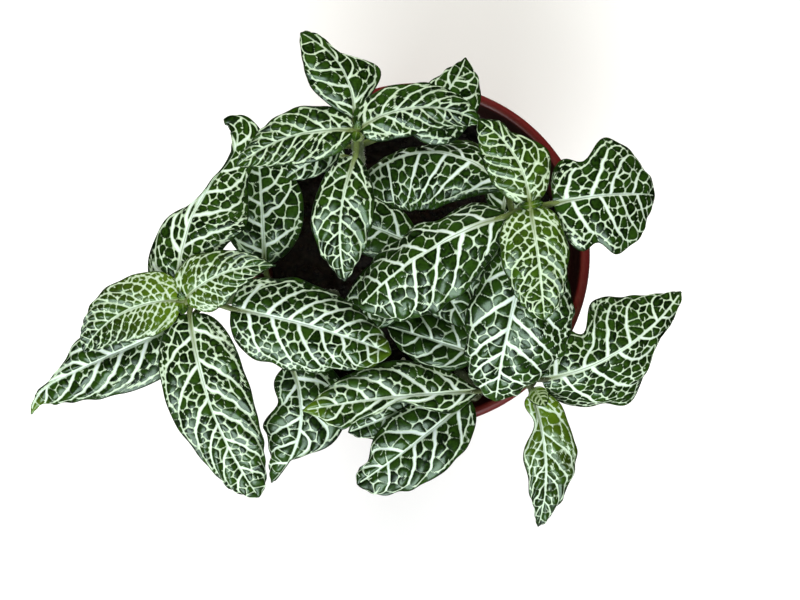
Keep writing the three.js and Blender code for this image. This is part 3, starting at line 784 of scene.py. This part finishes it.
# the old colour is the dull brown of old growth, and also painted shade on the stems low down under the
# leaves
stemColours = {"pale": ("#7c9466", "#b3c19e"), "fresh": ("#55672d", "#78894b"), "old": "#26261a"}


# Soft green stem tissue: satin, pale and a little mottled, greener towards the leaves.
def stemSkin():
    material, tree, shader = newMaterial("soft stem skin")
    place = add(tree, "TexCoord", output="Object")
    mottle = add(tree, "TexNoise", {"Vector": place, "Scale": 1000 / 2.5, "Detail": 3})
    pale, fresh = (
        add(tree, "Mix", {0: mottle, 6: colour(dark), 7: colour(light)}, 2, data_type="RGBA")
        for dark, light in (stemColours["pale"], stemColours["fresh"])
    )
    green = add(tree, "Attribute", output="Fac", attribute_name="green")
    both = add(tree, "Mix", {0: green, 6: pale, 7: fresh}, 2, data_type="RGBA")
    # older growth near the mix is dull and brown, and the low stems are also darkened as painted shade under
    # the leaves: from 150 mm above the table down to 100 mm
    high = add(tree, "SeparateXYZ", {"Vector": place}, "Z")
    low = add(tree, "MapRange", {
        "Value": high, "From Min": 100 * mm, "From Max": 150 * mm, "To Min": 0.85, "To Max": 0,
    })
    both = add(tree, "Mix", {0: low, 6: both, 7: colour(stemColours["old"])}, 2, data_type="RGBA")
    fine = add(tree, "TexNoise", {"Vector": place, "Scale": 1000 / 0.4})
    bump = add(tree, "Bump", {"Strength": 0.4, "Distance": 0.3 * mm, "Height": fine})
    fill(tree, shader, {"Base Color": both, "Normal": bump, "Roughness": 0.5})
    return material


# Plant hair: colourless and soft, so it reads as a white down.
def hairSkin():
    material, tree, shader = newMaterial("plant hair")
    fill(tree, shader, {"Base Color": colour("#eef1e6"), "Roughness": 0.6})
    return material


stemMaterial = stemSkin()
hairMaterial = hairSkin()


def makeShoot(name, shoot, seed):
    rng = np.random.default_rng(seed)
    buried, sides, stalkSides = (stemShape[key] for key in ("buried", "sides", "stalkSides"))
    t = np.linspace(0, 1, stemShape["rings"])
    above = stemPlace(shoot, t)
    below = above[:1] - up * np.linspace(stemShape["depth"] - seatGap, 2, buried)[:, None]
    line = np.vstack([below, above])
    radii = np.interp(t, [0, 1], [stemShape["foot"], stemShape["crown"]])
    swelling, length = stemShape["swelling"]
    for place in sorted({own["node"] for own in shoot["leaves"].values()}):
        radii = radii + swelling * bell(t - place, length)
    radii = np.concatenate([np.full(buried, stemShape["foot"]), radii])
    lean = np.array([*(np.array(shoot["crown"][:2]) - shoot["root"]), 0.0])
    parts = [tube(line, radii, sides, unit(np.cross(up, lean)))]
    green = [np.concatenate([np.zeros(buried * sides), np.repeat(t ** 3, sides), [0, 1]])]
    count = int(stemShape["hairs"] * np.linalg.norm(above[-1] - above[0]))
    down = [hairs(line[buried:], radii[buried:], count, rng)]
    for label, own in shoot["leaves"].items():
        start = stemPlace(shoot, np.array(own["node"]))
        base = stalkEnd(own, start)
        rib = midribLine(own, base)
        size = min(1, own["length"] / 30)
        sunk = np.array(stemShape["sunk"])[:, None] * size
        under = placeOn(rib, np.array(stemShape["under"])) - up * sunk
        stalk = smoothLine(np.vstack([start, under]), 6)
        last = len(stemShape["stalk"]) - 1
        width = np.interp(np.linspace(0, last, len(stalk)), range(last + 1), stemShape["stalk"]) * size
        parts.append(tube(stalk, width, stalkSides, up))
        green.append(np.ones(len(stalk) * stalkSides + 2))
        count = int(own["petiole"] * stemShape["stalkHairs"] * size) + 4
        down.append(hairs(stalk[2:14], width[2:14], count, rng))
        makeLeaf(f"{name}_{label}", own, base, name, rng)
    marks = {"green": np.concatenate(green)}
    makePiece(f"{name}_stem", *joined(parts), stemMaterial, name, "foliage", marks)
    makePiece(f"{name}_hairs", *joined(down), hairMaterial, name, "foliage")
    print(name, "ready with", len(shoot["leaves"]), "leaves")


for seed, (name, shoot) in enumerate(shoots.items(), 1):
    makeShoot(name, shoot, seed)


pot = {
    "height": 95, "rim": 60, "rimWidth": 3.8, "rimDepth": 4.5, "collarHeight": 17, "collarStep": 2,
    "base": 41, "wall": 1.3, "floor": 2.2, "recess": 1.4, "segments": 192,
    "recessRing": ((16, 17.5), (35, 36.5)),  # the slopes at its inner and its outer side
    "holes": 8, "holeRadius": 3.2, "holeCircle": 27, "holeRing": (19, 34), "notch": 3.0,
}
rimInside = pot["rim"] - pot["rimWidth"]
shoulder = pot["height"] - pot["collarHeight"]
floorTop = pot["floor"] + pot["recess"]


# The pot's inner radius where the body's wall is straight.
def innerRadius(z):
    top = rimInside - pot["collarStep"] - 0.8
    return np.interp(z, [0, shoulder], [pot["base"] - pot["wall"], top])


# Cuts each corner of a profile twice, at most the given distance from it.
def rounded(profile, distance):
    profile = np.asarray(profile, float)
    for size in (distance, distance / 3):
        made = [profile[0]]
        for before, corner, after in zip(profile, profile[1:], profile[2:]):
            for end in (before, after):
                gap = np.linalg.norm(end - corner)
                made.append(corner + (end - corner) * min(size / gap, 0.35))
        profile = np.array([*made, profile[-1]])
    return profile


# Places at a distance from the axis, turned round it.
def around(radius, turn):
    return np.stack([radius * np.cos(turn), radius * np.sin(turn)], -1)


# A profile of radius and height turned round Z.
def turned(profile, segments):
    r, z = np.array(profile, float).T[:, :, None]
    turn = np.linspace(0, 2 * np.pi, segments, endpoint=False)
    points = np.concatenate([around(r, turn), (z + 0 * turn)[..., None]], -1)
    return points.reshape(-1, 3), [gridFaces(len(profile), segments, wrap=True)[:, ::-1]]


# The floor round one drain hole: a grid between the hole's circle and the outline of its eighth.
def holePatch(number, z, flip):
    eighth = 2 * np.pi / pot["holes"]
    arc = np.linspace(-0.5, 0.5, pot["segments"] // pot["holes"] + 1) * eighth
    near, far = pot["holeRing"]
    across = np.linspace(near, far, 7)
    same = np.ones(len(arc) - 1)
    radius = np.concatenate([near * same, across[:-1], far * same, across[:0:-1]])
    turn = np.concatenate([arc[:-1], np.full(6, arc[-1]), arc[:0:-1], np.full(6, arc[0])])
    outline = around(radius, turn + (number + 0.5) * eighth)
    middle = around(pot["holeCircle"], (number + 0.5) * eighth)
    circle = middle + unit(outline - middle) * pot["holeRadius"]
    share = np.array([0, 0.25, 0.6, 1])[:, None, None]
    flat = circle * (1 - share) + outline * share
    points = np.concatenate([flat, np.full((*flat.shape[:2], 1), z)], -1)
    faces = gridFaces(4, len(outline), wrap=True)
    return points.reshape(-1, 3), [faces[:, ::-1] if flip else faces], circle


def potParts():
    collar = rimInside + pot["wall"]
    lip = pot["height"] - pot["rimDepth"]
    rim, top, recess = pot["rim"], pot["height"], pot["recess"]
    near, far = pot["holeRing"]
    innerSlope, outerSlope = pot["recessRing"]
    wall = [
        [far, recess], [outerSlope[0], recess], [outerSlope[1], 0], [pot["base"] - 1, 0], [pot["base"], 1],
        [innerRadius(shoulder - 1) + pot["wall"], shoulder - 1], [collar - 0.8, shoulder + 0.8],
        [collar, lip - 1], [collar + 0.5, lip - 0.2], [rim - 0.2, lip + 0.1], [rim, lip + 0.6],
        [rim, top - 1.5], [rim - 1.2, top], [rimInside + 1, top], [rimInside, top - 1],
        [rimInside - 0.8, shoulder + 1.6], [innerRadius(shoulder), shoulder],
        [innerRadius(floorTop + 1), floorTop + 1], [innerRadius(floorTop) - 1, floorTop], [far, floorTop],
    ]
    under = [[0, 0], [innerSlope[0], 0], [innerSlope[1], recess], [near, recess]]
    above = [[near, floorTop], [0, floorTop]]
    profiles = (rounded(wall, 0.8), rounded(under, 0.4), above)
    parts = [turned(profile, pot["segments"]) for profile in profiles]
    for number in range(pot["holes"]):
        low, lowFaces, circle = holePatch(number, recess, True)
        high, highFaces, _ = holePatch(number, floorTop, False)
        tall = np.array([recess, floorTop])[:, None, None]
        ring = np.concatenate([np.stack([circle] * 2), np.broadcast_to(tall, (2, len(circle), 1))], -1)
        bore = gridFaces(2, len(circle), wrap=True)
        parts += [(low, lowFaces), (high, highFaces), (ring.reshape(-1, 3), [bore])]
    return parts


# the darkest colour is painted shade for the pot's inner wall
potColours = {"dark": "#52100f", "light": "#6d1a17", "dust": "#6b4a3c", "innerShade": "#120b08"}


# Injection-moulded polypropylene: satin, dark red, with a fine moulded grain, a little dust of potting mix,
# and painted shade that darkens the inner wall deep in the pot.
def potPlastic():
    material, tree, shader = newMaterial("moulded polypropylene")
    tint = {name: colour(code) for name, code in potColours.items()}
    place = add(tree, "TexCoord", output="Object")
    cloud = add(tree, "TexNoise", {"Vector": place, "Scale": 1000 / 30, "Detail": 4})
    dust = add(tree, "TexNoise", {"Vector": place, "Scale": 1000 / 3, "Detail": 6})
    dusty = add(tree, "MapRange", {"Value": dust, "From Min": 0.6, "From Max": 0.75, "To Max": 0.3})
    inner = add(tree, "Attribute", output="Fac", attribute_name="inner")
    # painted shade: the inner wall is darkened, as it lies in the pot's shadow
    innerShade = add(tree, "Math", {0: inner, 1: 0.88}, operation="MULTIPLY")
    paint = tint["dark"]
    for share, name in ((cloud, "light"), (dusty, "dust"), (innerShade, "innerShade")):
        paint = add(tree, "Mix", {0: share, 6: paint, 7: tint[name]}, 2, data_type="RGBA")
    grain = add(tree, "TexNoise", {"Vector": place, "Scale": 1000 / 0.5})
    bump = add(tree, "Bump", {"Strength": 0.25, "Distance": 0.2 * mm, "Height": grain})
    rough = add(tree, "MapRange", {"Value": cloud, "To Min": 0.36, "To Max": 0.52})
    fill(tree, shader, {"Base Color": paint, "Roughness": rough, "Normal": bump, "Specular IOR Level": 0.65})
    return material


def makePot():
    points, faces = joined(potParts())
    far, turn = np.hypot(*points[:, :2].T), np.arctan2(points[:, 1], points[:, 0])
    aside = np.abs((turn + np.pi / 4) % (np.pi / 2) - np.pi / 4) * far
    inNotch = (aside < pot["notch"]) & (points[:, 2] < pot["recess"]) & (far > pot["holeRing"][1])
    points[inNotch, 2] = pot["recess"]
    # the wall's inside is marked, for the painted shade on it
    places = [0, shoulder, shoulder + 1.6, pot["height"] - 1]
    radii = [innerRadius(0), innerRadius(shoulder), rimInside - 0.8, rimInside]
    wall = np.interp(points[:, 2], places, radii)
    inner = np.clip((wall + 0.6 - far) / 0.6, 0, 1) * np.clip(points[:, 2] - floorTop, 0, 1)
    weld(makePiece("nursery_pot", points, faces, potPlastic(), "pot", "pot_plastic", {"inner": inner}))
    print("pot ready")


makePot()


soil = {
    "mound": 2.5, "lumps": 900, "lumpSize": (0.9, 2.8), "crumbs": (700, 0.5, 1.5), "perlite": (24, 0.6, 1.5),
    "rings": 70, "segments": 240,
}
soilEdge = float(innerRadius(soilTop)) - seatGap

# The twelve corners and twenty faces of an icosahedron.
golden = (1 + math.sqrt(5)) / 2
ballCorners = unit(np.array([
    [-1, golden, 0], [1, golden, 0], [-1, -golden, 0], [1, -golden, 0], [0, -1, golden], [0, 1, golden],
    [0, -1, -golden], [0, 1, -golden], [golden, 0, -1], [golden, 0, 1], [-golden, 0, -1], [-golden, 0, 1],
]))
ballFaces = np.array([
    [0, 11, 5], [0, 5, 1], [0, 1, 7], [0, 7, 10], [0, 10, 11], [1, 5, 9], [5, 11, 4], [11, 10, 2],
    [10, 7, 6], [7, 1, 8], [3, 9, 4], [3, 4, 2], [3, 2, 6], [3, 6, 8], [3, 8, 9], [4, 9, 5],
    [2, 4, 11], [6, 2, 10], [8, 6, 7], [9, 8, 1],
])


# Height of the mix: a low mound with half-sunk round lumps; at each place the highest lump counts.
def soilHeight(x, y, lumps):
    share = np.clip(np.hypot(x, y) / soilEdge, 0, 1)
    plain = soilTop + soil["mound"] * (1 - share ** 2) - 0.5
    lx, ly, size, sunk = lumps
    square = (x[:, None] - lx) ** 2 + (y[:, None] - ly) ** 2
    lump = np.sqrt(np.clip(size ** 2 - square, 0, None)) - sunk
    return plain + np.clip(lump.max(1), 0, 1.4) * np.clip((1 - share) * 12, 0.15, 1)


# Places spread evenly over a disc.
def spread(count, radius, rng):
    turn, far = rng.uniform(0, 2 * np.pi, count), radius * np.sqrt(rng.uniform(0, 1, count))
    return around(far, turn).T


# Uneven balls of some sizes, each stretched and roughened, half sunk into the mix.
def grains(count, least, most, lumps, rng):
    x, y = spread(count, soilEdge - 1.5, rng)
    size = rng.uniform(least, most, count)
    middle = np.stack([x, y, soilHeight(x, y, lumps) + size * 0.25], -1)
    stretch = rng.uniform(0.6, 1.15, (count, 1, 3))
    rough = rng.uniform(0.75, 1.15, (count, 12, 1))
    points = middle[:, None] + ballCorners[None] * stretch * rough * size[:, None, None]
    return points.reshape(-1, 3), [(np.arange(count)[:, None, None] * 12 + ballFaces[None]).reshape(-1, 3)]


soilColours = {"peat": ("#060403", "#1b120d"), "perlite": ("#dedbd2", "#b3aca0")}


# Damp peat: matt, nearly black, with brown fibres and fine crumbs.
def peat():
    material, tree, shader = newMaterial("damp peat")
    dark, brown = (colour(code) for code in soilColours["peat"])
    place = add(tree, "TexCoord", output="Object")
    crumb = add(tree, "TexNoise", {"Vector": place, "Scale": 1000 / 1.6, "Detail": 6})
    share = add(tree, "MapRange", {"Value": crumb, "From Min": 0.35, "From Max": 0.7})
    paint = add(tree, "Mix", {0: share, 6: dark, 7: brown}, 2, data_type="RGBA")
    bump = add(tree, "Bump", {"Strength": 0.8, "Distance": 0.8 * mm, "Height": crumb})
    fill(tree, shader, {"Base Color": paint, "Normal": bump, "Roughness": 0.95})
    return material


# Perlite: blown volcanic glass, dull white and pitted.
def perliteStone():
    material, tree, shader = newMaterial("perlite")
    white, pit = (colour(code) for code in soilColours["perlite"])
    place = add(tree, "TexCoord", output="Object")
    pits = add(tree, "TexVoronoi", {"Vector": place, "Scale": 1000 / 0.4})
    paint = add(tree, "Mix", {0: pits, 6: white, 7: pit}, 2, data_type="RGBA")
    bump = add(tree, "Bump", {"Strength": 0.5, "Distance": 0.3 * mm, "Height": pits})
    fill(tree, shader, {"Base Color": paint, "Normal": bump, "Roughness": 0.9})
    return material


def makeSoil():
    rng = np.random.default_rng(40)
    x, y = spread(soil["lumps"], soilEdge, rng)
    size = rng.uniform(*soil["lumpSize"], soil["lumps"])
    lumps = (x, y, size, size * rng.uniform(0.2, 0.7, soil["lumps"]))
    radii = np.append(0, np.linspace(1, soilEdge, soil["rings"]))
    turn = np.linspace(0, 2 * np.pi, soil["segments"], endpoint=False)
    x, y = around(radii[:, None], turn).reshape(-1, 2).T
    low = floorTop + seatGap
    profile = [[innerRadius(low + 1) - seatGap, low + 1], [innerRadius(low) - 2, low], [0, low]]
    side, _ = turned(profile, soil["segments"])
    points = np.concatenate([np.stack([x, y, soilHeight(x, y, lumps)], -1), side])
    faces = [gridFaces(len(radii) + len(profile), soil["segments"], wrap=True)]
    material = peat()
    weld(makePiece("potting_mix_bed", points, faces, material, "potting_mix", "potting_mix"))
    for name, stone in (("crumbs", material), ("perlite", perliteStone())):
        balls = grains(*soil[name], lumps, rng)
        makePiece(f"potting_mix_{name}", *balls, stone, "potting_mix", "potting_mix")
    print("potting mix ready")


makeSoil()
